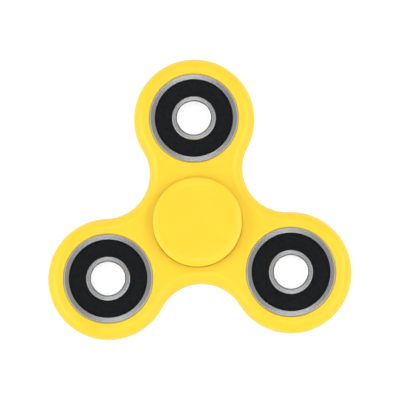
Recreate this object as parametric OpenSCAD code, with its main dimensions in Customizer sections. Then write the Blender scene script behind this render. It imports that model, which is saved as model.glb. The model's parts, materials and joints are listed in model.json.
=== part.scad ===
// Three-lobed finger spinner, 7 mm thick, with four sealed ball bearings of 8 x 22 x 7 mm.
// Z is the spin axis, z = 0 is the middle of the body and lobe 1 points along +Y.

/* [Body outline] */
// Distance from the spin axis to the centre of each lobe
arm_r = 26; // [25:0.5:30]
// Radius of each lobe
lobe_r = 15; // [14.75:0.25:16]
// Rounding of the body's outer edges, top and bottom
edge_r = 3; // [2:0.25:3]
// Rounding of the body's edges round each bearing
hole_edge_r = 0.5; // [0.2:0.05:0.5]

/* [Bearings] */
// Outside diameter of each bearing
bearing_d = 22; // [21.5:0.1:22.4]
// Bore diameter of each bearing
bore_d = 8; // [7:0.1:8.2]
// Width of each bearing, and so the thickness of the body
bearing_w = 7; // [6.8:0.1:8]
// Diameter of the circle that the ball centres lie on
pitch_d = 15; // [14.8:0.1:15.2]
// Diameter of each ball, five thirty-seconds of an inch
ball_d = 3.969; // [3.7:0.001:4]
// Number of balls in each bearing
ball_count = 7; // [6:1:8]
// Outside radius of the inner ring's faces, inside the seal lip
inner_face_r = 5.45; // [5.2:0.05:5.5]
// Radius of the outer ring's mouth, where the seal snaps in
seal_mouth_r = 9.62; // [9.5:0.02:9.7]
// Chamfer on the corners of both rings
ring_chamfer = 0.3; // [0.1:0.05:0.4]

/* [Seals] */
// How far the seal's face lies below the faces of the rings
seal_recess = 0.15; // [0.05:0.05:0.3]
// Radius at which the seal's face steps down to its lip
lip_step_r = 6.2; // [6:0.05:6.5]
// Depth of the step down to the lip
lip_step = 0.15; // [0.05:0.05:0.25]
// Radius of the fine groove inside the seal's rim
rim_groove_r = 9.22; // [8.8:0.02:9.3]

/* [Ball cages] */
// Thickness of each pressed half of a ball cage
cage_sheet = 0.3; // [0.2:0.05:0.4]
// Width of a ball cage's band, from its inside to its outside radius
cage_band_w = 2; // [1.6:0.1:2.2]

/* [Finger caps] */
// Diameter of each finger cap
cap_d = 22; // [20:0.5:24]
// Gap between a finger cap and the body
cap_gap = 0.65; // [0.4:0.05:1]
// Thickness of a finger cap's disc
cap_t = 2.6; // [2.2:0.1:3.5]
// Width of the rounded rim round a cap's flat top
crown_w = 2.5; // [1.5:0.25:4]
// Steepest slope of the rounded rim, in degrees
crown_slope = 25; // [15:1:35]
// Small rounding between the rim and the cap's side
cap_edge_r = 0.4; // [0.2:0.05:0.6]
// Depth that each cap's stub reaches into the hub bearing's bore
stub_l = 3.2; // [2:0.1:3.2]

/* [Hidden] */
$fn = 96;

// Outline: lobes and coves alternate on one circle, and their arcs touch on the hexagon's sides
cove_r = arm_r - lobe_r;
lobe_angles = [90, 210, 330];
cove_angles = [30, 150, 270];
lobe_sweep = 240;
cove_sweep = 360 - lobe_sweep;

// Bearing radii and heights, measured from the bearing's centre
face_z = bearing_w / 2;
bearing_r = bearing_d / 2;
bore_r = bore_d / 2;
pitch_r = pitch_d / 2;
ball_r = ball_d / 2;
lip_r = bearing_r + hole_edge_r;
race_r = 0.52 * ball_d;      // groove radius, a little over the ball's
race_gap = 0.04;             // play between a ball and each groove
inner_land_r = 6.05;
outer_land_r = 9;
inner_land_z = face_z - 1.1;
seal_seat_z = face_z - 1;    // shelf in the outer ring that the seal rests on
seal_groove_r = 9.84;        // bottom of the groove that holds the seal's bead
seal_groove_z = face_z - 0.5;
mouth_slope = 0.15;          // height of the slope from the groove up to the mouth
inner_edge = 0.2;            // chamfer on the outside corner of the inner ring's faces

// Seal
seal_top_z = face_z - seal_recess;
bead_play = 0.02;
lip_play = 0.06;             // gap between the seal's lip and the inner ring
lip_bevel = 0.1;
rim_groove_w = 0.16;
rim_groove_t = 0.12;
rim_round = 0.1;

// Cage
pocket_r = ball_r + 0.06;
rivet_r = 0.42;
rivet_head = 0.22;
function ball_angle(i) = 360 * (i - 1) / ball_count;

// Finger cap
cap_r = cap_d / 2;
cap_under_z = face_z + cap_gap;
cap_top_z = cap_under_z + cap_t;
flat_r = cap_r - crown_w;
crown_r = (crown_w - cap_edge_r * (1 - sin(crown_slope))) / sin(crown_slope);
crown_c = [flat_r, cap_top_z - crown_r];
slope_dir = [sin(crown_slope), cos(crown_slope)];
crown_end = crown_c + crown_r * slope_dir;
edge_c = crown_end - cap_edge_r * slope_dir;
cap_under_chamfer = 0.25;
seat_r = inner_face_r - inner_edge;  // spacer that bears on the inner ring alone
stub_chamfer = 0.4;

BEARINGS = [
    ["hub", [0, 0, 0]],
    for (i = [0:2])
        [str("lobe_", i + 1), arm_r * [cos(lobe_angles[i]), sin(lobe_angles[i]), 0]],
];

// ---- Shared 2D helpers: x is the distance from the axis and y is the height ----

// The round part between an arc about c and its chord from p to q
module arc_cap(p, q, c) {
    out = (p + q) / 2 - c;
    intersection() {
        translate(c) circle(norm(p - c));
        polygon([p, q, q + out, p + out]);
    }
}

// Section through a rim of the body's full thickness, flat at x_flat and rounded over to x_wall
module rim_section(x_flat, x_wall) {
    side = sign(x_wall - x_flat);
    top = side * face_z;
    wall_top = top - (x_wall - x_flat);
    polygon([[x_flat, -top], [x_wall, -wall_top], [x_wall, wall_top], [x_flat, top]]);
    arc_cap([x_flat, top], [x_wall, wall_top], [x_flat, wall_top]);
    arc_cap([x_flat, -top], [x_wall, -wall_top], [x_flat, -wall_top]);
}

// The upper points of a section, followed by their mirror images below
function mirrored(upper) = concat(upper, [for (i = [len(upper) - 1:-1:0]) [upper[i].x, -upper[i].y]]);

// Puts its children at the centre of a lobe or cove, without turning them. A coarse step and a
// fine one keep the place exact, because neighbouring arcs have to meet on one plane.
module at_arm(angle) {
    centre = arm_r * [cos(angle), sin(angle)];
    coarse = [for (c = centre) round(10 * c) / 10];
    translate(coarse) translate(centre - coarse) children();
}

// ---- Body ----

// Flat middle of the body: the hexagon of arc centres, without the coves and bearing holes
module web_plate() {
    translate([0, 0, -face_z]) linear_extrude(bearing_w) difference() {
        rotate(lobe_angles[0]) circle(arm_r, $fn = 6);
        for (a = cove_angles) at_arm(a) circle(cove_r + edge_r);
        for (a = lobe_angles) at_arm(a) circle(lip_r);
        circle(lip_r);
    }
}

// Rounded rim of one lobe, from the bearing hole's lip outwards
module lobe_rim(angle) {
    rotate_extrude(angle = lobe_sweep, start = angle - lobe_sweep / 2) {
        rim_section(lobe_r - edge_r, lobe_r);
        translate([lip_r, -face_z]) square([lobe_r - edge_r - lip_r, bearing_w]);
    }
}

// Rounded edge of one cove, on the side that faces the hub
module cove_rim(angle) {
    rotate_extrude(angle = cove_sweep, start = angle + 180 - cove_sweep / 2)
        rim_section(cove_r + edge_r, cove_r);
}

// Wall of one bearing hole, with its small rounded edges
module hole_lip() rotate_extrude() rim_section(lip_r, bearing_r);

module spinner_body() {
    color("gold") {
        web_plate();
        for (a = cove_angles) at_arm(a) cove_rim(a);
        for (a = lobe_angles) at_arm(a) lobe_rim(a);
        hole_lip();
        for (a = lobe_angles) at_arm(a) hole_lip();
    }
}

// ---- Ball bearing ----

module outer_ring() {
    section = mirrored([
        [bearing_r, face_z - ring_chamfer],
        [bearing_r - ring_chamfer, face_z],
        [seal_mouth_r, face_z],
        [seal_mouth_r, seal_groove_z + mouth_slope],
        [seal_groove_r, seal_groove_z],
        [seal_groove_r, seal_seat_z],
        [outer_land_r, seal_seat_z],
    ]);
    color("silver") rotate_extrude() difference() {
        polygon(section);
        translate([pitch_r + ball_r + race_gap - race_r, 0]) circle(race_r);
    }
}

module inner_ring() {
    section = mirrored([
        [bore_r, face_z - ring_chamfer],
        [bore_r + ring_chamfer, face_z],
        [inner_face_r - inner_edge, face_z],
        [inner_face_r, face_z - inner_edge],
        [inner_face_r, inner_land_z],
        [inner_land_r, inner_land_z],
    ]);
    color("silver") rotate_extrude() difference() {
        polygon(section);
        translate([pitch_r - ball_r - race_gap + race_r, 0]) circle(race_r);
    }
}

module bearing_ball() color("gainsboro") translate([pitch_r, 0, 0]) sphere(ball_r);

// Pressed ribbon cage: two flat halves, riveted between the balls, that bulge into a round pocket
// at each ball
module ball_cage() {
    color("darkgray") {
        difference() {
            cage_flats();
            at_balls() cylinder(h = bearing_w, r = pocket_r + cage_sheet / 2, center = true);
        }
        at_balls() cage_pocket();
        rotate(180 / ball_count) at_balls()
            cylinder(h = 2 * (cage_sheet + rivet_head), r = rivet_r, center = true);
    }
}

// Both halves of the cage's flat band, as a ring of straight stretches
module cage_flats() {
    linear_extrude(2 * cage_sheet, center = true) difference() {
        polygon(ring_corners(pitch_r + cage_band_w / 2));
        polygon(ring_corners(pitch_r - cage_band_w / 2));
    }
}

// Corners at each ball and halfway between the balls
function ring_corners(r) =
    [for (i = [0:2 * ball_count - 1]) r * [cos(180 * i / ball_count), sin(180 * i / ball_count)]];

// Zone of a spherical shell round a ball, open towards both rings
module cage_pocket() {
    rotate([0, 90, 0]) rotate_extrude() intersection() {
        difference() {
            circle(pocket_r + cage_sheet);
            circle(pocket_r);
        }
        translate([0, -cage_band_w / 2]) square([bearing_w, cage_band_w]);
    }
}

module at_balls() {
    for (i = [1:ball_count]) rotate(ball_angle(i)) translate([pitch_r, 0, 0]) children();
}

// Rubber seal, facing up: its bead sits in the outer ring and its lip runs just clear of the inner ring
module seal() {
    section = [
        [inner_face_r + lip_play, seal_seat_z],
        [seal_groove_r - bead_play, seal_seat_z],
        [seal_groove_r - bead_play, seal_groove_z - bead_play],
        [seal_mouth_r - bead_play, seal_groove_z + mouth_slope - bead_play],
        [seal_mouth_r - bead_play, seal_top_z - rim_round],
        [seal_mouth_r - bead_play - rim_round, seal_top_z],
        [rim_groove_r + rim_groove_w / 2, seal_top_z],
        [rim_groove_r, seal_top_z - rim_groove_t],
        [rim_groove_r - rim_groove_w / 2, seal_top_z],
        [lip_step_r + lip_step / 2, seal_top_z],
        [lip_step_r, seal_top_z - lip_step],
        [inner_face_r + lip_play + lip_bevel, seal_top_z - lip_step],
        [inner_face_r + lip_play, seal_top_z - lip_step - lip_bevel],
    ];
    color([0.12, 0.12, 0.13]) rotate_extrude() polygon(section);
}

// ---- Finger caps ----

// Disc with a crowned rim, a spacer that bears on the inner ring, and a stub pressed into its bore
module finger_cap() {
    section = [
        [0, face_z - stub_l],
        [bore_r - stub_chamfer, face_z - stub_l],
        [bore_r, face_z - stub_l + stub_chamfer],
        [bore_r, face_z],
        [seat_r, face_z],
        [seat_r, cap_under_z],
        [cap_r - cap_under_chamfer, cap_under_z],
        [cap_r, cap_under_z + cap_under_chamfer],
        [cap_r, edge_c.y],
        edge_c,
        crown_end,
        [flat_r, cap_top_z],
        [0, cap_top_z],
    ];
    color("gold") rotate_extrude() {
        polygon(section);
        arc_cap([flat_r, cap_top_z], crown_end, crown_c);
        intersection() {
            translate(edge_c) circle(cap_edge_r);
            polygon([edge_c, [cap_r, edge_c.y], edge_c + cap_edge_r * [1, 1], crown_end + slope_dir]);
        }
    }
}

// ---- Assembly ----

module turned_over() mirror([0, 0, 1]) children();

spinner_body();
finger_cap();  // top_finger_cap
turned_over() finger_cap();  // bottom_finger_cap

for (b = BEARINGS) translate(b[1]) {
    outer_ring();
    inner_ring();
    ball_cage();
    seal();
    turned_over() seal();
    for (i = [1:ball_count])
        rotate(ball_angle(i)) bearing_ball();
}
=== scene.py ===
"""Looks of a three-lobed finger spinner: a yellow moulded body, two finger caps and four sealed bearings.

Z is the spin axis and lobe 1 points along +Y. Shapes are worked out in millimetres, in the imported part's
frame, and turned into metres when they become meshes. Each visible moulding, ring and seal is a closed
surface made of grids of points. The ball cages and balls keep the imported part's own meshes.
"""

import json

import bmesh
import bpy
import numpy as np
from mathutils import Matrix, Vector


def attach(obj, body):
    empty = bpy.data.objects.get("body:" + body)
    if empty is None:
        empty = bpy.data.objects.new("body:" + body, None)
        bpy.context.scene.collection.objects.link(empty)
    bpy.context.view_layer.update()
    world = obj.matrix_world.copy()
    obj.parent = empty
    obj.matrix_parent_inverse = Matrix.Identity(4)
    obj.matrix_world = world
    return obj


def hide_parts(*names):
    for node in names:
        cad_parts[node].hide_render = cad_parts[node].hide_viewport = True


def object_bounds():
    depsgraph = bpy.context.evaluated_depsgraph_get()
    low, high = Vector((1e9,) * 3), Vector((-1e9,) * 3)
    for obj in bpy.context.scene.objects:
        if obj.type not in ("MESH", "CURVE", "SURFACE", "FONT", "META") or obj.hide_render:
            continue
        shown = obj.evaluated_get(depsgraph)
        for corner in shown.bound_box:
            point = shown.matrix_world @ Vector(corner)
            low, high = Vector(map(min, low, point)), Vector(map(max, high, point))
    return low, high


MM = 0.001

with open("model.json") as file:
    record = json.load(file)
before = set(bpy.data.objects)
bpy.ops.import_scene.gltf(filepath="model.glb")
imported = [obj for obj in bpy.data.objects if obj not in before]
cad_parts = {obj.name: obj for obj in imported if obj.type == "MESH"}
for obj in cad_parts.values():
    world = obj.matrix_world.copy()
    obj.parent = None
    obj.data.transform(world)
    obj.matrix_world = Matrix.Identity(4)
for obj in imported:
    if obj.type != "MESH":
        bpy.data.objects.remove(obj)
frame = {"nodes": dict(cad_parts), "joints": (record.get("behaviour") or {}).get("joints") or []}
cad_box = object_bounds()

# ---- Sizes, in millimetres ----

# Body
lobe_r = 15.0
edge_r = 3.0
hub_lip = (0.15, 0.15)  # width and depth of the rounded lip of the hub's hole, most of it under the cap
lobe_lip = (0.5, 0.5)  # the same of the lobes' holes
parting_line = 0.03  # depth of the witness line that the two mould halves leave round the edge
parting_w = 0.16

# Bearings, 8 x 22 x 7
face_z = 3.5
bearing_r = 11.0
bore_r = 4.0
pitch_r = 7.5
ball_r = 3.969 / 2
race_r = 0.52 * 2 * ball_r
race_gap = 0.04
inner_face_r = 5.45
inner_edge = 0.2
inner_land_r = 6.05
inner_land_z = face_z - 1.1
outer_land_r = 9.0
seal_mouth_r = 9.62
seal_groove_r = 9.84
seal_seat_z = face_z - 1.0
seal_groove_z = face_z - 0.5
mouth_slope = 0.15
ring_round = 0.3  # of the corners at the bore and at the outside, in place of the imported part's chamfers
ring_corner_r = 0.05  # small rounding that lapping leaves on the rings' other corners

# Seals
seal_top_z = face_z - 0.15
lip_play = 0.06
bead_play = 0.02
lip_step_r = 6.2
lip_step = 0.15
lip_bevel = 0.1
rim_round = 0.1
rim_groove_r = 9.22
rim_groove_w = 0.16
rim_groove_t = 0.12
seal_corner_r = 0.04

# Finger caps
cap_r = 11.0
cap_under_z = face_z + 0.65
cap_top_z = cap_under_z + 2.6
flat_r = cap_r - 2.5
crown_slope = np.radians(25)
cap_edge_r = 0.4
stub_z = face_z - 3.2
stub_chamfer = 0.4
cap_under_chamfer = 0.25
seat_r = inner_face_r - inner_edge
moulded_corner_r = 0.12

# Bearing centres, from the joints that turn them
joint_at = {j["name"]: np.array(j["pos_m"][:2]) / MM for j in frame["joints"]}
LOBES = ["lobe_1", "lobe_2", "lobe_3"]
CENTRES = {"hub": joint_at["spin"], **{lobe: joint_at[f"{lobe}_bearing"] for lobe in LOBES}}
arm_r = np.hypot(*CENTRES["lobe_1"])
cove_r = arm_r - lobe_r

# How finely the round surfaces are divided
TURN_STEP = 3  # degrees round an arc of the body
COVE_STEPS = 120 // TURN_STEP  # round a cove, and round the side of a lobe's hole that faces the hub
WEB_SPLIT = 23.7  # degrees round the hub from a lobe's direction to where the web turns from hole to cove
WEB_STRAIGHT = 1.0  # degrees round the hub that the straight between them takes
WEB_ROWS = [0, 0.03, 0.2, 0.4, 0.6, 0.8, 0.97, 1]  # shares of the way across the web, close at its edges
RING_STEPS = 160  # round a bearing or cap
ROUND_STEPS = 5  # across a small rounded corner
LIP_STEPS = 8  # down the lip of a bearing hole
EDGE_STEPS = 14  # across a large rounding: the body's edge, the cap's crown, half a raceway
CAP_ROWS = [0, 0.5, 0.97]  # shares of the cap's flat, from its middle
GUARD = 0.35  # a guard point lies this share of a corner's radius beyond its arc
WELD = 1e-7  # metres within which the edges of two grids are one


# ---- Profiles: rows of (distance from the axis, height) ----


def arc(centre, radius, start, end, steps):
    """Evenly spaced points centre + radius * (cos t, sin t), with t going from start to end in degrees."""
    t = np.radians(np.linspace(start, end, steps + 1))
    return np.asarray(centre) + radius * np.stack([np.cos(t), np.sin(t)], axis=-1)


def softened(corners, radius, closed=True):
    """A profile with each corner turned into an arc of the given radius, or of each corner's own.

    The arc touches both sides at radius / tan(half the corner's angle) from the corner, and its centre lies
    on the corner's bisector at radius / sin(half the angle). Points along it come from turning one touching
    direction into the other. A guard point beyond each end keeps the flat next to it flat when it is shaded.
    An open profile keeps its two end points.
    """
    corners = np.asarray(corners, float)
    inside = slice(None) if closed else slice(1, -1)
    corner = corners[inside]
    radius = np.broadcast_to(radius, len(corners))[inside, None]
    back = np.roll(corners, 1, axis=0)[inside] - corner
    ahead = np.roll(corners, -1, axis=0)[inside] - corner
    back /= np.linalg.norm(back, axis=1, keepdims=True)
    ahead /= np.linalg.norm(ahead, axis=1, keepdims=True)
    half = 0.5 * np.arccos(np.clip((back * ahead).sum(axis=1, keepdims=True), -1, 1))
    bisector = (back + ahead) / np.linalg.norm(back + ahead, axis=1, keepdims=True)
    middle = corner + bisector * radius / np.sin(half)
    reach = radius / np.tan(half)
    first = (corner + back * reach - middle)[:, None]
    last = (corner + ahead * reach - middle)[:, None]
    turn = (np.pi - 2 * half)[:, None]
    s = np.linspace(0, 1, ROUND_STEPS + 1)[None, :, None]
    bend = middle[:, None] + (np.sin((1 - s) * turn) * first + np.sin(s * turn) * last) / np.sin(turn)
    guard_in = (corner + back * (reach + GUARD * radius))[:, None]
    guard_out = (corner + ahead * (reach + GUARD * radius))[:, None]
    points = np.concatenate([guard_in, bend, guard_out], axis=1).reshape(-1, 2)
    return points if closed else np.concatenate([corners[:1], points, corners[-1:]])


def looped(profile):
    """The profile with its first point again at the end, so that it closes."""
    return np.concatenate([profile, profile[:1]])


def with_mirror(upper):
    """The upper points of a section, followed by their mirror images below the middle plane."""
    upper = np.asarray(upper, float)
    return np.concatenate([upper, upper[::-1] * [1, -1]])


# ---- Grids of points, (rows, columns, 3) ----


def turned(profile, centre=(0, 0), degrees=None):
    """A surface of revolution: a point (r, z) of the profile goes to centre + r * (cos t, sin t), at height
    z, for each direction t in degrees, or round a full turn where none is given."""
    degrees = np.linspace(0, 360, RING_STEPS + 1) if degrees is None else degrees
    t = np.radians(degrees)
    round_it = np.stack([np.cos(t), np.sin(t)], axis=-1)
    plan = np.asarray(centre) + profile[:, None, :1] * round_it[None]
    height = np.broadcast_to(profile[:, None, 1:], plan.shape[:2] + (1,))
    return np.concatenate([plan, height], axis=-1)


def ruled(first, last, shares):
    """Straight lines from the points of one edge to those of another: (1 - share) * first + share * last,
    with a row for each share of the way."""
    shares = np.asarray(shares, float)[:, None, None]
    return (1 - shares) * first[None] + shares * last[None]


def at_height(plan, z):
    """Plan points (x, y) lifted to height z."""
    return np.concatenate([plan, np.full(plan.shape[:-1] + (1,), z)], axis=-1)


def turning_map(profile):
    """UV of a turned surface: u is the share of a full turn, and v the distance along the profile from its
    first point, which is also its last, by the shorter way, in millimetres."""
    along = np.concatenate([[0], np.cumsum(np.linalg.norm(np.diff(profile, axis=0), axis=1))])
    u, v = np.meshgrid(np.linspace(0, 1, RING_STEPS + 1), np.minimum(along, along[-1] - along))
    return np.stack([u, v], axis=-1)


# ---- Meshes ----


def piece(name, grids, material, body, stands_for, uv=None):
    """One closed mesh from grids of points in millimetres: neighbours on a grid make a four-sided face,
    edges that lie on each other are merged, and the faces are turned outwards. It rides on a body and
    replaces a CAD node."""
    sizes = [g.shape[0] * g.shape[1] for g in grids]
    starts = np.cumsum([0] + sizes[:-1])
    points = np.concatenate([g.reshape(-1, 3) for g in grids]) * MM
    numbers = [start + np.arange(n).reshape(g.shape[:2]) for g, start, n in zip(grids, starts, sizes)]
    corners = [(n[:-1, :-1], n[:-1, 1:], n[1:, 1:], n[1:, :-1]) for n in numbers]
    faces = np.concatenate([np.stack(c, axis=-1).reshape(-1, 4) for c in corners])
    mesh = bpy.data.meshes.new(name)
    mesh.from_pydata(points, [], faces)
    if uv is not None:
        layer = mesh.uv_layers.new(name=TURNING)
        layer.data.foreach_set("uv", uv.reshape(-1, 2)[faces].astype(np.float32).ravel())
    tidy = bmesh.new()
    tidy.from_mesh(mesh)
    bmesh.ops.remove_doubles(tidy, verts=tidy.verts, dist=WELD)
    bmesh.ops.recalc_face_normals(tidy, faces=tidy.faces)
    tidy.to_mesh(mesh)
    tidy.free()
    mesh.polygons.foreach_set("use_smooth", np.ones(len(mesh.polygons), bool))
    mesh.materials.append(material)
    thing = bpy.data.objects.new(name, mesh)
    bpy.context.scene.collection.objects.link(thing)
    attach(thing, body)
    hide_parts(stands_for)


# ---- The body ----


def outline():
    """The arcs of the body's outline, anticlockwise from lobe 1: three lobes and, between them, three coves.

    Each arc is (centre, outward side, directions from the centre in degrees). A lobe turns 240 degrees about
    its centre. The cove after it turns 120 degrees the other way about its own centre, which lies on the
    same circle as the lobes' centres, 60 degrees on, so the arcs touch where they meet.
    """
    arcs = []
    for centre in (CENTRES[lobe] for lobe in LOBES):
        lobe_at = round(np.degrees(np.arctan2(centre[1], centre[0])))
        cove_at = lobe_at + 60
        cove_centre = arm_r * np.array([np.cos(np.radians(cove_at)), np.sin(np.radians(cove_at))])
        arcs.append((centre, 1, np.arange(lobe_at - 120, lobe_at + 121, TURN_STEP)))
        arcs.append((cove_centre, -1, np.arange(cove_at + 240, cove_at + 119, -TURN_STEP)))
    return arcs


def inset(arcs, depth):
    """Plan of the outline moved inwards by each depth, as (depths, points, 2): a lobe's radius shrinks by
    the depth and a cove's grows by it, about the same centres."""
    depth = np.asarray(depth, float)[:, None, None]
    parts = []
    for centre, side, degrees in arcs:
        t = np.radians(degrees)
        radius = (lobe_r if side > 0 else cove_r) - side * depth
        parts.append(centre + radius * np.stack([np.cos(t), np.sin(t)], axis=-1)[None])
    return np.concatenate(parts, axis=1)


def edge_section():
    """(inset, height) down the body's outer edge: a quarter round, the wall with its parting line, and
    another quarter round."""
    quarter = arc((edge_r, face_z - edge_r), edge_r, 90, 180, EDGE_STEPS)
    wall = softened(
        [quarter[-1], [0, parting_w / 2], [parting_line, 0], [0, -parting_w / 2], quarter[-1] * [1, -1]],
        parting_line / 2,
        closed=False,
    )
    return np.concatenate([quarter, wall[1:-1], quarter[::-1] * [1, -1]])


def hole_section(lip):
    """(radius, height) down a bearing hole's wall, with a quarter of an ellipse of the lip's size at each
    end."""
    quarter = arc((0, 0), 1.0, 90, 180, LIP_STEPS) * lip
    return with_mirror(quarter + [bearing_r + lip[0], face_z - lip[1]])


def web_edges():
    """The two edges of the flat web round the hub bearing, with as many points each: directions round the
    hub hole's lip, in degrees, and the plan of the way along each lobe hole's lip and each cove's edge.

    The short straight between a lobe's hole and a cove faces the hub's lip WEB_SPLIT degrees from the lobe's
    direction, where a line from the lip crosses neither of the two arcs.
    """
    directions, outer = [], []
    gap = WEB_STRAIGHT / 2
    for (lobe_centre, _, lobe_turn), (cove_centre, _, cove_turn) in zip(outline()[::2], outline()[1::2]):
        lobe_at = (lobe_turn[0] + lobe_turn[-1]) / 2
        directions.append(lobe_at + np.linspace(gap - WEB_SPLIT, WEB_SPLIT - gap, COVE_STEPS + 1))
        directions.append(lobe_at + np.linspace(WEB_SPLIT + gap, 120 - WEB_SPLIT - gap, COVE_STEPS + 1))
        lip_r = bearing_r + lobe_lip[0]
        outer.append(arc(lobe_centre, lip_r, lobe_turn[0] + 360, lobe_turn[-1], COVE_STEPS))
        outer.append(arc(cove_centre, cove_r + edge_r, cove_turn[0], cove_turn[-1], COVE_STEPS))
    directions = np.concatenate(directions)
    return np.append(directions, directions[0] + 360), looped(np.concatenate(outer))


def spinner_body(material):
    """The moulding: its rounded outer edge, the four bearing holes, and on both sides the flats between
    them, which are a web round the hub and a crescent round each lobe."""
    arcs = outline()
    edge = edge_section()
    rim = inset(arcs, edge[:, 0])
    rim = np.concatenate([rim, np.broadcast_to(edge[:, None, 1:], rim.shape[:2] + (1,))], axis=-1)
    rim = np.concatenate([rim, rim[:, :1]], axis=1)
    hub_degrees, web_outer = web_edges()
    hub_wall = turned(hole_section(hub_lip), CENTRES["hub"], hub_degrees)
    web = ruled(hub_wall[0, :, :2], web_outer, WEB_ROWS)
    grids = [rim, hub_wall, at_height(web, face_z), at_height(web, -face_z)]
    crescent_ends = np.array([[bearing_r + lobe_lip[0], 0], [lobe_r - edge_r, 0]])
    for centre, _, degrees in arcs[::2]:
        full_turn = np.arange(degrees[0], degrees[0] + 361, TURN_STEP)
        grids.append(turned(hole_section(lobe_lip), centre, full_turn))
        crescent = turned(crescent_ends, centre, degrees)[..., :2]
        grids += [at_height(crescent, face_z), at_height(crescent, -face_z)]
    piece("yellow_body", grids, material, "spinner", "spinner_body")


# ---- Finger caps ----


def cap_section():
    """(radius, height) of the upper cap from the middle of its top to the middle of its stub: a flat, a
    crown that falls away on a large arc to crown_slope, a small round edge, the side, and the stub."""
    lean = np.array([np.sin(crown_slope), np.cos(crown_slope)])
    crown_r = (cap_r - flat_r - cap_edge_r * (1 - lean[0])) / lean[0]
    crown_centre = np.array([flat_r, cap_top_z - crown_r])
    edge_centre = crown_centre + (crown_r - cap_edge_r) * lean
    crown = arc(crown_centre, crown_r, 90, 90 - np.degrees(crown_slope), EDGE_STEPS)
    edge = arc(edge_centre, cap_edge_r, 90 - np.degrees(crown_slope), 0, ROUND_STEPS)
    below = softened(
        [
            edge[-1],
            [cap_r, cap_under_z + cap_under_chamfer],
            [cap_r - cap_under_chamfer, cap_under_z],
            [seat_r, cap_under_z],
            [seat_r, face_z],
            [bore_r, face_z],
            [bore_r, stub_z + stub_chamfer],
            [bore_r - stub_chamfer, stub_z],
            [0, stub_z],
        ],
        moulded_corner_r,
        closed=False,
    )
    top = np.array([[share * flat_r, cap_top_z] for share in CAP_ROWS])
    return np.concatenate([top, crown, edge[1:], below[1:]])


def finger_cap(name, node, turn_over, material):
    """A cap turned from its section. The lower one is the same moulding with its heights reversed."""
    section = cap_section() * [1, -1 if turn_over else 1]
    piece(name, [turned(section)], material, "hub", node)


# ---- Bearings ----


def raceway(centre_r, land_r, side):
    """The ball groove as an arc, from the land above to the land below. side is 1 for the outer ring, whose
    groove opens inwards, and -1 for the inner ring."""
    reach = np.degrees(np.arccos(side * (land_r - centre_r) / race_r))
    middle = 0 if side > 0 else 180
    return arc((centre_r, 0), race_r, middle + side * reach, middle - side * reach, 2 * EDGE_STEPS)


def ring_section(upper, groove):
    """Closed section of a ring: from the middle of its seat, which is its bore or its outside, over the
    upper corners to the raceway, along that, and back by the mirror image. The first upper corner is rounded
    by ring_round and the others by ring_corner_r."""
    seat_middle = [upper[0][0], 0]
    radii = [ring_corner_r, ring_round] + [ring_corner_r] * len(upper)
    down = softened([seat_middle, *upper, groove[0]], radii, closed=False)
    return np.concatenate([down, groove[1:-1], down[::-1] * [1, -1]])


def outer_ring_section():
    """Closed section of an outer ring: its outside, rounded corners, faces, seal grooves and the raceway."""
    upper = [
        [bearing_r, face_z],
        [seal_mouth_r, face_z],
        [seal_mouth_r, seal_groove_z + mouth_slope],
        [seal_groove_r, seal_groove_z],
        [seal_groove_r, seal_seat_z],
        [outer_land_r, seal_seat_z],
    ]
    return ring_section(upper, raceway(pitch_r + ball_r + race_gap - race_r, outer_land_r, 1))


def inner_ring_section():
    """Closed section of an inner ring: its bore, rounded corners, faces, shoulders and the raceway."""
    upper = [
        [bore_r, face_z],
        [inner_face_r - inner_edge, face_z],
        [inner_face_r, face_z - inner_edge],
        [inner_face_r, inner_land_z],
        [inner_land_r, inner_land_z],
    ]
    return ring_section(upper, raceway(pitch_r - ball_r - race_gap + race_r, inner_land_r, -1))


def seal_section():
    """Closed section of an upper seal: the bead in the outer ring, the grooved face, and the stepped lip at
    the inner ring. Each corner is (radius, height, radius of its rounding)."""
    lip_r = inner_face_r + lip_play
    rim_r = seal_mouth_r - bead_play
    bead_r = seal_groove_r - bead_play
    corners = np.array([
        (lip_r, seal_seat_z, seal_corner_r),
        (bead_r, seal_seat_z, seal_corner_r),
        (bead_r, seal_groove_z - bead_play, seal_corner_r),
        (rim_r, seal_groove_z + mouth_slope - bead_play, seal_corner_r),
        (rim_r, seal_top_z, rim_round),
        (rim_groove_r + rim_groove_w / 2, seal_top_z, seal_corner_r),
        (rim_groove_r, seal_top_z - rim_groove_t, seal_corner_r),
        (rim_groove_r - rim_groove_w / 2, seal_top_z, seal_corner_r),
        (lip_step_r + lip_step / 2, seal_top_z, seal_corner_r),
        (lip_step_r, seal_top_z - lip_step, seal_corner_r),
        (lip_r, seal_top_z - lip_step, lip_bevel),
    ])
    return softened(corners[:, :2], corners[:, 2])


def ring(name, node, section, centre, body, material):
    """A closed section turned about a bearing's axis, with the UV map that its turning marks follow."""
    section = looped(section)
    piece(name, [turned(section, centre)], material, body, node, turning_map(section))


def bearing(place, inner_body, outer_steel, inner_steel, rubber):
    """The rings and seals of the bearing at one place. The lower seal is the upper one turned over."""
    centre = CENTRES[place]
    for kind, section, body, steel in (
        ("outer", outer_ring_section(), "spinner", outer_steel),
        ("inner", inner_ring_section(), inner_body, inner_steel),
    ):
        ring(f"{place}_{kind}_race", f"{place}_{kind}_ring", section, centre, body, steel)
    for side, flip in (("top", 1), ("bottom", -1)):
        node = f"{place}_{side}_seal"
        ring(f"{node}_rubber", node, seal_section() * [1, flip], centre, "spinner", rubber)


# ---- Materials ----

TURNING = "turning"  # the UV map of the rings and seals
NOISE_SPAN = (0.3, 0.7)  # where most of a noise's values lie
FLOW_DETAIL, GRAIN_DETAIL = 2.0, 3.0  # of noise in broad spots and in fine ones


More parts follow.
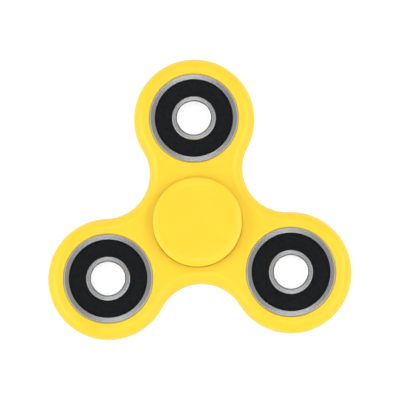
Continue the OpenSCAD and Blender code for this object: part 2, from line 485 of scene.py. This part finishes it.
def add(tree, kind, inputs=None, **settings):
    """A new shader node. Settings are its own properties, and inputs are numbers, colours or the outputs of
    other nodes."""
    node = tree.nodes.new(kind)
    for key, value in settings.items():
        setattr(node, key, value)
    for key, value in (inputs or {}).items():
        if isinstance(value, bpy.types.NodeSocket):
            tree.links.new(value, node.inputs[key])
        else:
            node.inputs[key].default_value = value
    return node


def finish_named(name, **shader_values):
    """A material with its Principled shader set to plain values. Returns (material, node tree, shader)."""
    material = bpy.data.materials.new(name)
    material.use_nodes = True
    tree = material.node_tree
    shader = tree.nodes["Principled BSDF"]
    for key, value in shader_values.items():
        shader.inputs[key.replace("_", " ").title().replace("Ior", "IOR")].default_value = value
    return material, tree, shader


def object_point(tree):
    """Object coordinates, in metres."""
    return add(tree, "ShaderNodeTexCoord").outputs["Object"]


def grain(tree, vector, size, detail=GRAIN_DETAIL):
    """Noise from 0 to 1 whose spots are about size millimetres wide."""
    noise = add(tree, "ShaderNodeTexNoise", {"Vector": vector, "Scale": 1 / (size * MM), "Detail": detail})
    return noise.outputs["Fac"]


def between(tree, value, low, high):
    """A noise value spread out so that most of it runs from low to high."""
    from_low, from_high = NOISE_SPAN
    inputs = {"Value": value, "From Min": from_low, "From Max": from_high, "To Min": low, "To Max": high}
    return add(tree, "ShaderNodeMapRange", inputs).outputs["Result"]


def colour_between(tree, shader, value, first, second):
    """Base colour that goes from the first to the second as the value goes from 0 to 1."""
    mix = add(tree, "ShaderNodeMix", data_type="RGBA")
    tree.links.new(value, mix.inputs["Factor"])
    mix.inputs["A"].default_value = (*first, 1)
    mix.inputs["B"].default_value = (*second, 1)
    tree.links.new(mix.outputs["Result"], shader.inputs["Base Color"])


def uneven_gloss(tree, shader, noise, roughness):
    """Roughness that wanders between its two values with the noise."""
    tree.links.new(between(tree, noise, *roughness), shader.inputs["Roughness"])


def relief(tree, shader, height, depth):
    """Bump of the given depth, in millimetres, from a height between 0 and 1."""
    bump = add(tree, "ShaderNodeBump", {"Height": height, "Strength": 1.0, "Distance": depth * MM})
    tree.links.new(bump.outputs["Normal"], shader.inputs["Normal"])


# Finishes: colours are linear, and the widths of spots and the depths of relief are in millimetres
PLASTIC_IOR = 1.5
YELLOW, PALER_YELLOW = (0.95, 0.65, 0.018), (0.97, 0.67, 0.022)
YELLOW_SPOTS = 7.0
YELLOW_GLOSS_SPOTS, YELLOW_ROUGHNESS = 2.5, (0.34, 0.42)
SPARK_SPOTS, SPARK_DEPTH = 0.14, 0.003

RUBBER_IOR, RUBBER_SHINE = 1.5, 0.18
BLACK, PALER_BLACK = (0.0022, 0.0028, 0.0036), (0.0038, 0.0046, 0.0056)
BLACK_SPOTS = 1.6
RUBBER_GLOSS_SPOTS, RUBBER_ROUGHNESS = 0.8, (0.26, 0.36)
RUBBER_SPOTS, RUBBER_DEPTH = 0.15, 0.0006

BALL_STEEL, PALER_BALL_STEEL = (0.62, 0.62, 0.63), (0.67, 0.67, 0.68)
HAZE_SPOTS, BALL_ROUGHNESS = 0.9, (0.05, 0.12)

STRIP_STEEL, PALER_STRIP_STEEL = (0.46, 0.45, 0.43), (0.54, 0.53, 0.51)
ROLLED = (1, 1, 6)  # the strip's grain is this much finer along each axis
STRIP_SPOTS, STRIP_DEPTH, STRIP_ROUGHNESS = 0.25, 0.001, (0.26, 0.38)


def yellow_plastic():
    """Moulded ABS: warm yellow with a faint flow mottle, a fine spark-eroded texture and uneven gloss."""
    material, tree, shader = finish_named("yellow_plastic", ior=PLASTIC_IOR)
    point = object_point(tree)
    flow = between(tree, grain(tree, point, YELLOW_SPOTS, FLOW_DETAIL), 0, 1)
    colour_between(tree, shader, flow, YELLOW, PALER_YELLOW)
    uneven_gloss(tree, shader, grain(tree, point, YELLOW_GLOSS_SPOTS, FLOW_DETAIL), YELLOW_ROUGHNESS)
    relief(tree, shader, grain(tree, point, SPARK_SPOTS), SPARK_DEPTH)
    return material


def black_rubber():
    """Moulded nitrile rubber: near black, with a faint mottle, a fine grain and uneven satin gloss."""
    material, tree, shader = finish_named("black_rubber", ior=RUBBER_IOR, specular_ior_level=RUBBER_SHINE)
    point = object_point(tree)
    mottle = between(tree, grain(tree, point, BLACK_SPOTS, FLOW_DETAIL), 0, 1)
    colour_between(tree, shader, mottle, BLACK, PALER_BLACK)
    uneven_gloss(tree, shader, grain(tree, point, RUBBER_GLOSS_SPOTS, FLOW_DETAIL), RUBBER_ROUGHNESS)
    relief(tree, shader, grain(tree, point, RUBBER_SPOTS), RUBBER_DEPTH)
    return material


def ball_steel():
    """Lapped chrome steel: bright, with a trace of haze."""
    material, tree, shader = finish_named("ball_steel", metallic=1.0)
    haze = grain(tree, object_point(tree), HAZE_SPOTS, FLOW_DETAIL)
    colour_between(tree, shader, haze, BALL_STEEL, PALER_BALL_STEEL)
    uneven_gloss(tree, shader, haze, BALL_ROUGHNESS)
    return material


def pressed_steel():
    """Cold-rolled strip of the ball cages: duller than the balls, with a fine rolled grain."""
    material, tree, shader = finish_named("pressed_steel", metallic=1.0)
    strip = add(tree, "ShaderNodeMapping", {"Vector": object_point(tree), "Scale": ROLLED}).outputs["Vector"]
    rolled = grain(tree, strip, STRIP_SPOTS)
    colour_between(tree, shader, rolled, STRIP_STEEL, PALER_STRIP_STEEL)
    uneven_gloss(tree, shader, rolled, STRIP_ROUGHNESS)
    relief(tree, shader, rolled, STRIP_DEPTH)
    return material


def recoat(node, material):
    """A CAD node keeps its mesh and gets a new material in place of its own."""
    mesh = frame["nodes"][node].data
    mesh.materials.clear()
    mesh.materials.append(material)


# ---- Turned steel of the rings ----

FINE_MARKS, BROAD_MARKS = 0.05, 0.35  # millimetres from mark to mark
MARKS_ROUND = 0.15  # how far the pattern drifts round the axis, in marks
MARK_DEPTH = 0.0001
ACROSS_MARKS = 0.25  # of a full turn, from the tangent to the way a reflection is stretched
GROUND_ROUGHNESS = (0.20, 0.28)
OUTER_STRETCH, OUTER_FACE_TONES, OUTER_CORNER_ROUGHNESS = 0.7, (0.49, 0.53), 0.6
INNER_STRETCH, INNER_FACE_TONES, INNER_CORNER_ROUGHNESS = 0.45, (0.63, 0.66), 0.24

# Where a ring's tones change: millimetres along its profile, from the middle of the bore or the outside
CORNER_START = face_z - ring_round
CORNER_LONG = ring_round * np.pi / 2
FACE_START = CORNER_START + CORNER_LONG
CHAMFER_START = FACE_START + inner_face_r - inner_edge - bore_r - ring_round
CHAMFER_LONG = inner_edge * np.sqrt(2)
MOUTH_START = FACE_START + bearing_r - seal_mouth_r - ring_round

# The inner ring: a polished bore, with a painted shade line where its corner meets the face, and painted
# shade on the chamfer's edge
POLISHED_SHARE, POLISHED_TONE = 0.74, 0.95  # share of the corner
# painted shade: a near-black band over the end of the corner and the start of the face, where shade falls at
# the bore's edge
PAINTED_SHADE_LINE_W, PAINTED_SHADE_LINE_TONE = 0.1, 0.04
LIT_SHARE, SHADED_TONE = 0.8, 0.12  # share of the chamfer, and the tone of the rest

# The outer ring: a tumbled outside and corner, and a painted shade line in the crevice beside the seal
TUMBLED_TONE = 0.48
# painted shade: a near-black band on the face and down the mouth beside the seal, where shade falls in the
# gap
PAINTED_SHADE_ON_FACE, PAINTED_SHADE_IN_MOUTH, PAINTED_SHADE_TONE = 0.08, 0.2, 0.02

# Rows of (where a tone ends, tone), with None for the tone of the ground face
INNER_RING_TONES = (
    (CORNER_START + POLISHED_SHARE * CORNER_LONG, POLISHED_TONE),
    # the painted shade line at the bore's corner
    (FACE_START + PAINTED_SHADE_LINE_W, PAINTED_SHADE_LINE_TONE),
    (CHAMFER_START + LIT_SHARE * CHAMFER_LONG, None),
    (CHAMFER_START + CHAMFER_LONG, SHADED_TONE),
)
OUTER_RING_TONES = (
    (FACE_START, TUMBLED_TONE),
    (MOUTH_START - PAINTED_SHADE_ON_FACE, None),
    # the painted shade in the crevice beside the seal
    (MOUTH_START + PAINTED_SHADE_IN_MOUTH, PAINTED_SHADE_TONE),
)


def stepped(tree, value, edge, below, above):
    """A number that is one thing while the value is below the edge and another above it."""
    past = add(tree, "ShaderNodeMath", {0: value, 1: edge}, operation="GREATER_THAN").outputs[0]
    inputs = {"Value": past, "To Min": below, "To Max": above}
    return add(tree, "ShaderNodeMapRange", inputs).outputs["Result"]


def turning_parts(tree):
    """The UV of a turned surface: the share of a full turn, and the millimetres along the profile."""
    uv = add(tree, "ShaderNodeUVMap", uv_map=TURNING).outputs["UV"]
    parts = add(tree, "ShaderNodeSeparateXYZ", {"Vector": uv}).outputs
    return parts["X"], parts["Y"]


def turning_marks(tree, pitch, detail):
    """Noise from 0 to 1 in rings about the axis, which are a pitch in millimetres apart.

    Its point moves by 1 for each pitch along the profile. Round the axis it goes on a circle of radius
    MARKS_ROUND, so that the rings hardly change on the way and meet themselves after a full turn.
    """
    share, along = turning_parts(tree)
    angle = add(tree, "ShaderNodeMath", {0: share, 1: 2 * np.pi}, operation="MULTIPLY").outputs[0]
    point = {"Z": add(tree, "ShaderNodeMath", {0: along, 1: 1 / pitch}, operation="MULTIPLY").outputs[0]}
    for axis, kind in (("X", "COSINE"), ("Y", "SINE")):
        wave = add(tree, "ShaderNodeMath", {0: angle}, operation=kind).outputs[0]
        point[axis] = add(tree, "ShaderNodeMath", {0: wave, 1: MARKS_ROUND}, operation="MULTIPLY").outputs[0]
    vector = add(tree, "ShaderNodeCombineXYZ", point).outputs["Vector"]
    return add(tree, "ShaderNodeTexNoise", {"Vector": vector, "Scale": 1.0, "Detail": detail}).outputs["Fac"]


def turned_steel(name, stretch, tones, face_tones, corner_roughness):
    """Ground bearing steel: fine rings left by the wheel, which stretch the reflections across them. The
    tones say how bright the steel is along the ring's profile, with painted shade in bands at some corners,
    and what lies before the face has a roughness of its own."""
    material, tree, shader = finish_named(
        name, metallic=1.0, anisotropic=stretch, anisotropic_rotation=ACROSS_MARKS
    )
    fine = turning_marks(tree, FINE_MARKS, GRAIN_DETAIL)
    _, from_seat = turning_parts(tree)
    tone = ground = between(tree, turning_marks(tree, BROAD_MARKS, FLOW_DETAIL), *face_tones)
    for end, tone_before in reversed(tones):
        tone = stepped(tree, from_seat, end, ground if tone_before is None else tone_before, tone)
    grey = add(tree, "ShaderNodeCombineColor", dict.fromkeys(range(3), tone))
    tree.links.new(grey.outputs[0], shader.inputs["Base Color"])
    roughness = between(tree, fine, *GROUND_ROUGHNESS)
    roughness = stepped(tree, from_seat, FACE_START, corner_roughness, roughness)
    tree.links.new(roughness, shader.inputs["Roughness"])
    relief(tree, shader, fine, MARK_DEPTH)
    tangent = add(tree, "ShaderNodeTangent", direction_type="UV_MAP", uv_map=TURNING)
    tree.links.new(tangent.outputs["Tangent"], shader.inputs["Tangent"])
    return material


# ---- The object ----


def make_spinner():
    """The body, the two caps and the four bearings, each in its own finish."""
    yellow, rubber = yellow_plastic(), black_rubber()
    outer_steel = turned_steel(
        "outer_ring_steel", OUTER_STRETCH, OUTER_RING_TONES, OUTER_FACE_TONES, OUTER_CORNER_ROUGHNESS
    )
    inner_steel = turned_steel(
        "inner_ring_steel", INNER_STRETCH, INNER_RING_TONES, INNER_FACE_TONES, INNER_CORNER_ROUGHNESS
    )
    balls, strip = ball_steel(), pressed_steel()
    spinner_body(yellow)
    finger_cap("upper_finger_cap", "top_finger_cap", False, yellow)
    finger_cap("lower_finger_cap", "bottom_finger_cap", True, yellow)
    bearing("hub", "hub", outer_steel, inner_steel, rubber)
    for lobe in LOBES:
        bearing(lobe, f"{lobe}_inner", outer_steel, inner_steel, rubber)
    for node in frame["nodes"]:
        if "_ball_cage" in node:
            recoat(node, strip)
        elif "_ball_" in node:
            recoat(node, balls)


# ---- Studio ----

FLOOR_SIZE = 3.0  # metres
FLOOR_PLAY = 0.05  # millimetres between the floor and the lower cap, so that the two faces stay apart
FLOOR_WHITE = 0.8  # the floor's colour where it lights the object
FLOOR_GLOW = 0.88  # how bright the floor looks where nothing lights it
FLOOR_SHADED = 0.25  # its colour on top of that glow, where the object's shadow shows
ROOM_LIGHT = 0.40  # brightness at which the room lights the object from above
WALL_LIGHT = 2.4  # the same, level with the floor
WALL_FADE = (0.0, 0.3)  # sines of the elevations between which the walls' light fades to the room's
CEILING_LIGHT = 0.38  # how bright the ceiling looks in polished metal
BACKDROP_FADE = (0.25, 0.8)  # sines of the elevations between which the backdrop fades into the ceiling
VIEW_DISTANCE = 0.64  # metres from the aim point
VIEW_AZIMUTH = -79.5  # of the camera, in degrees from +X, seen from above
VIEW_ELEVATION = 84.5
VIEW_UP = 87.97  # direction of the view's upper side, in degrees from +X
VIEW_WIDTH = 0.0992  # metres that the camera shows across, at the aim point
AIM = (0.00073, 0.005885, 0.0)

# Soft boxes: azimuth they stand at and lean from straight above, in degrees, then distance, width and height
# in metres, and power in watts
SOFT_BOXES = {
    "left_box": (190, 50, 0.9, 0.85, 0.35, 3.0),
    "right_box": (349, 42, 0.9, 0.95, 0.35, 3.2),
    "front_box": (275, 17, 0.9, 0.3, 0.3, 0.95),
    "back_box": (97, 28, 0.9, 0.3, 0.3, 0.95),
}


def seen_directly(tree):
    """1 for rays that come straight from the camera, or by way of a mirror or glass, and 0 for the rest."""
    path = add(tree, "ShaderNodeLightPath").outputs
    direct = add(
        tree, "ShaderNodeMath", {0: path["Is Camera Ray"], 1: path["Is Glossy Ray"]}, operation="MAXIMUM"
    )
    either = {0: direct.outputs[0], 1: path["Is Transmission Ray"]}
    return add(tree, "ShaderNodeMath", either, operation="MAXIMUM").outputs[0]


def make_floor():
    """A pale floor just under the lower cap. It looks almost white, darkens where the object shades it, and
    is clear from below."""
    half = FLOOR_SIZE / 2
    z = cad_box[0].z - FLOOR_PLAY * MM
    mesh = bpy.data.meshes.new("floor")
    corners = [(-half, -half, z), (half, -half, z), (half, half, z), (-half, half, z)]
    mesh.from_pydata(corners, [], [(0, 1, 2, 3)])
    material = bpy.data.materials.new("pale_floor")
    material.use_nodes = True
    tree = material.node_tree
    tree.nodes.clear()
    matt = add(tree, "ShaderNodeBsdfDiffuse", {"Color": (FLOOR_WHITE,) * 3 + (1,)})
    shaded = add(tree, "ShaderNodeBsdfDiffuse", {"Color": (FLOOR_SHADED,) * 3 + (1,)})
    glow = add(tree, "ShaderNodeEmission", {"Color": (1, 1, 1, 1), "Strength": FLOOR_GLOW})
    both = add(tree, "ShaderNodeAddShader", {0: shaded.outputs[0], 1: glow.outputs[0]})
    mix = add(tree, "ShaderNodeMixShader", {0: seen_directly(tree), 1: matt.outputs[0], 2: both.outputs[0]})
    under = add(tree, "ShaderNodeNewGeometry").outputs["Backfacing"]
    clear = add(tree, "ShaderNodeBsdfTransparent")
    sided = add(tree, "ShaderNodeMixShader", {0: under, 1: mix.outputs[0], 2: clear.outputs[0]})
    out = add(tree, "ShaderNodeOutputMaterial")
    tree.links.new(sided.outputs[0], out.inputs["Surface"])
    mesh.materials.append(material)
    floor = bpy.data.objects.new("floor", mesh)
    bpy.context.scene.collection.objects.link(floor)


def fading(tree, value, span, first, last):
    """A level that goes smoothly from the first to the last while the value crosses the span."""
    start, end = span
    inputs = {"Value": value, "From Min": start, "From Max": end, "To Min": first, "To Max": last}
    return add(tree, "ShaderNodeMapRange", inputs, interpolation_type="SMOOTHSTEP").outputs["Result"]


def make_room():
    """A room with a white backdrop all round and a dimmer ceiling. The camera sees it white all over,
    mirrors and glass see the backdrop fade into the ceiling, and everything else is lit by soft light that
    is brightest level with the floor."""
    world = bpy.data.worlds.new("white_room")
    bpy.context.scene.world = world
    world.use_nodes = True
    tree = world.node_tree
    background = tree.nodes["Background"]
    background.inputs["Color"].default_value = (1, 1, 1, 1)
    towards = add(tree, "ShaderNodeTexCoord").outputs["Generated"]
    height = add(tree, "ShaderNodeSeparateXYZ", {"Vector": towards}).outputs["Z"]
    surround = fading(tree, height, BACKDROP_FADE, 1.0, CEILING_LIGHT)
    lighting = fading(tree, height, WALL_FADE, WALL_LIGHT, ROOM_LIGHT)
    path = add(tree, "ShaderNodeLightPath").outputs
    mirrored = {0: path["Is Glossy Ray"], 1: path["Is Transmission Ray"]}
    mirrored = add(tree, "ShaderNodeMath", mirrored, operation="MAXIMUM").outputs[0]
    level = {"Value": mirrored, "To Min": lighting, "To Max": surround}
    level = add(tree, "ShaderNodeMapRange", level).outputs["Result"]
    level = {"Value": path["Is Camera Ray"], "To Min": level, "To Max": 1.0}
    level = add(tree, "ShaderNodeMapRange", level).outputs["Result"]
    tree.links.new(level, background.inputs["Strength"])


def direction(azimuth, elevation):
    """Unit vector towards an azimuth from +X and an elevation above the horizon, both in degrees."""
    a, e = np.radians([azimuth, elevation])
    return Vector((np.cos(a) * np.cos(e), np.sin(a) * np.cos(e), np.sin(e)))


def make_lights():
    """A rectangular lamp for each soft box, facing the object."""
    for name, (azimuth, lean, distance, width, height, power) in SOFT_BOXES.items():
        lamp = bpy.data.lights.new(name, "AREA")
        lamp.shape, lamp.size, lamp.size_y, lamp.energy = "RECTANGLE", width, height, power
        box = bpy.data.objects.new(name, lamp)
        towards = direction(azimuth, 90 - lean)
        box.location = towards * distance
        box.rotation_euler = towards.to_track_quat("Z", "Y").to_euler()
        bpy.context.scene.collection.objects.link(box)


def make_camera():
    """A long lens looking almost straight down, with the upper side of its view turned to VIEW_UP."""
    data = bpy.data.cameras.new("camera")
    data.lens = data.sensor_width * VIEW_DISTANCE / VIEW_WIDTH
    camera = bpy.data.objects.new("camera", data)
    back = direction(VIEW_AZIMUTH, VIEW_ELEVATION)
    up = direction(VIEW_UP, 0)
    up = (up - back * up.dot(back)).normalized()
    turn = Matrix((up.cross(back), up, back)).transposed()
    camera.matrix_world = Matrix.Translation(Vector(AIM) + back * VIEW_DISTANCE) @ turn.to_4x4()
    bpy.context.scene.collection.objects.link(camera)
    bpy.context.scene.camera = camera


make_camera()
make_spinner()
make_floor()
make_room()
make_lights()
bpy.context.scene.view_settings.view_transform = "Standard"
